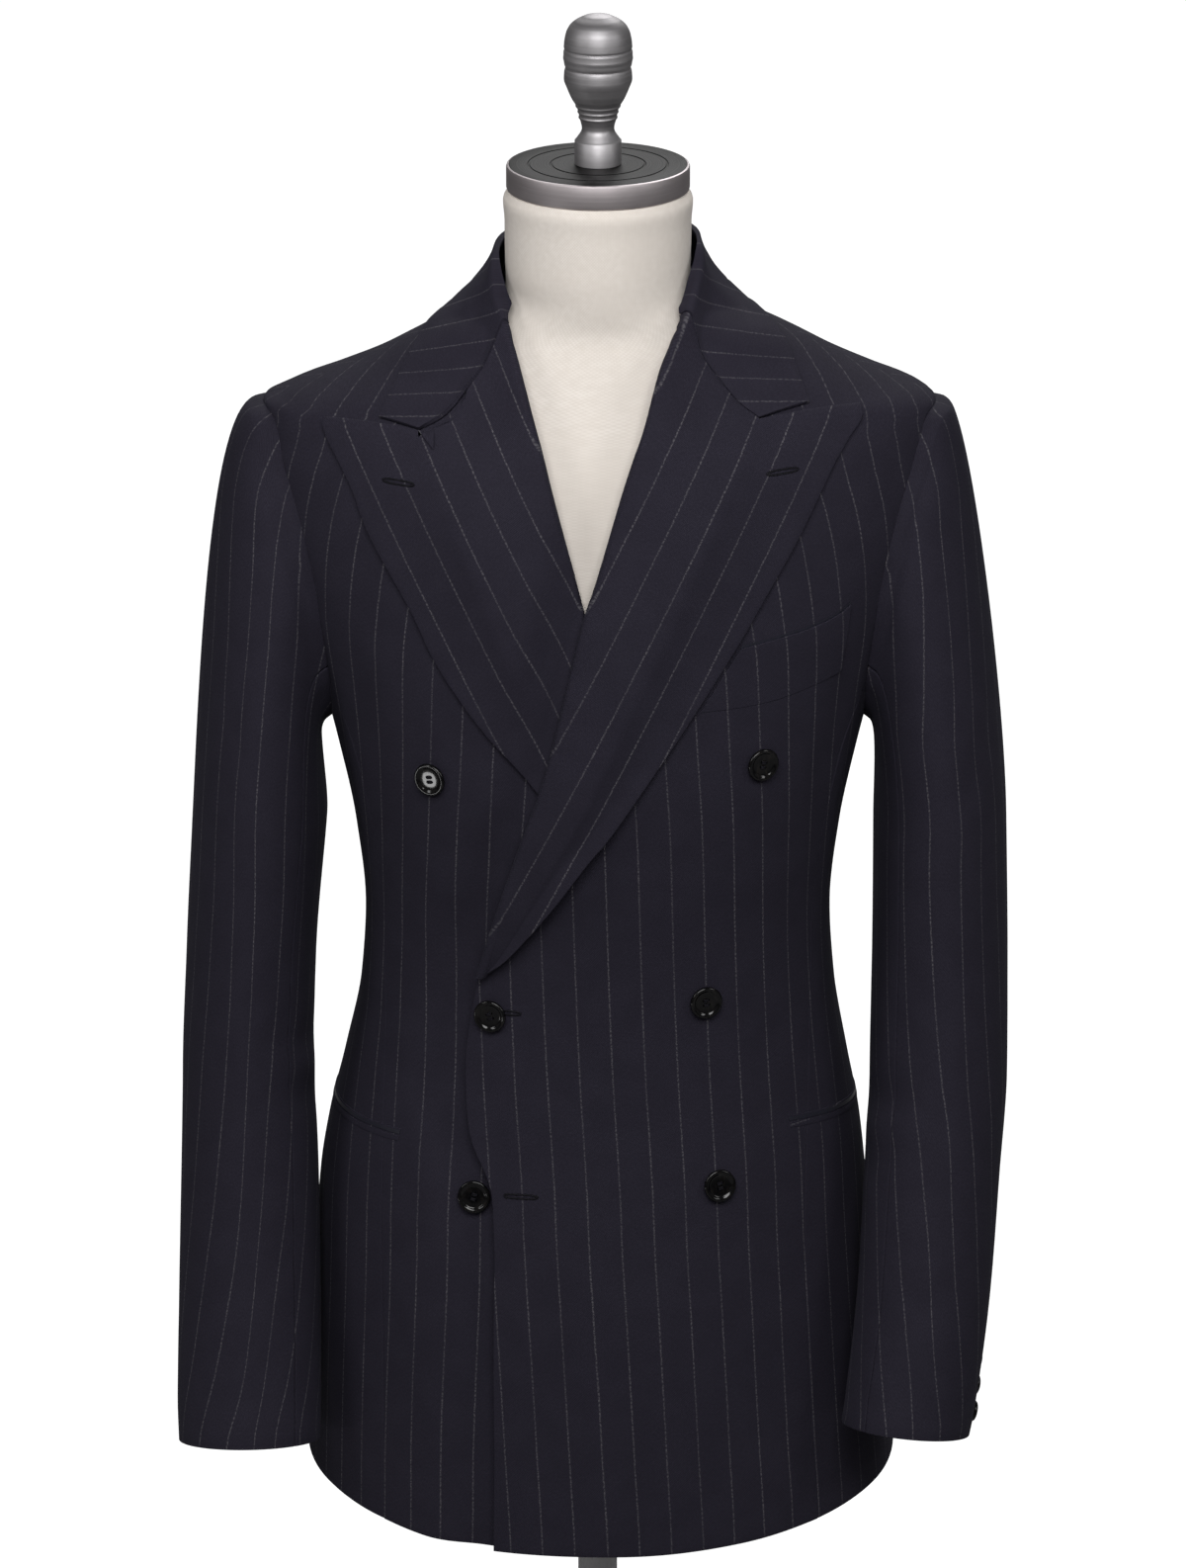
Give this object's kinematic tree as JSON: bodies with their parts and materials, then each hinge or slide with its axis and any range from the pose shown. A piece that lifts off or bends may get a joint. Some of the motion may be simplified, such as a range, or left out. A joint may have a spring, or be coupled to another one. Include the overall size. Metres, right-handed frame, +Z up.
{
  "type": "double-breasted suit jacket on dress form",
  "caption": "Double-breasted pinstripe suit jacket with peak lapels, hanging on a limbless dress form that stands on a round base.",
  "frame": {"origin": "centre of the underside of the stand's base, on the surface it stands on", "axes": "+Z up along the pole, -Y towards the jacket's front, +X towards the wearer's left"},
  "size_m": [0.5162, 0.33, 1.201],
  "materials": {
    "pinstripe_wool": "dark navy worsted wool twill with fine pale grey chalk stripes, soft and matt",
    "horn_button": "polished black horn",
    "form_canvas": "stretched cream canvas",
    "brushed_metal": "turned and brushed, satin",
    "stand_steel": "pale grey powder coat, satin"
  },
  "bodies": {
    "root": {"front_left": "pinstripe_wool", "front_right": "pinstripe_wool", "side_panel_left": "pinstripe_wool", "side_panel_right": "pinstripe_wool", "back_left": "pinstripe_wool", "back_right": "pinstripe_wool", "collar": "pinstripe_wool", "lapel_left": "pinstripe_wool", "lapel_right": "pinstripe_wool", "top_sleeve_left": "pinstripe_wool", "under_sleeve_left": "pinstripe_wool", "top_sleeve_right": "pinstripe_wool", "under_sleeve_right": "pinstripe_wool", "breast_welt": "pinstripe_wool", "pocket_upper_lip_left": "pinstripe_wool", "pocket_lower_lip_left": "pinstripe_wool", "pocket_upper_lip_right": "pinstripe_wool", "pocket_lower_lip_right": "pinstripe_wool", "front_button_1": "horn_button", "front_button_2": "horn_button", "front_button_3": "horn_button", "front_button_4": "horn_button", "front_button_5": "horn_button", "front_button_6": "horn_button", "cuff_button_left_1": "horn_button", "cuff_button_left_2": "horn_button", "cuff_button_left_3": "horn_button", "cuff_button_left_4": "horn_button", "cuff_button_right_1": "horn_button", "cuff_button_right_2": "horn_button", "cuff_button_right_3": "horn_button", "cuff_button_right_4": "horn_button", "form_torso": "form_canvas", "form_neck_cap": "brushed_metal", "form_finial": "brushed_metal", "stand_pole": "stand_steel", "stand_base": "stand_steel"}
  },
  "joints": []
}
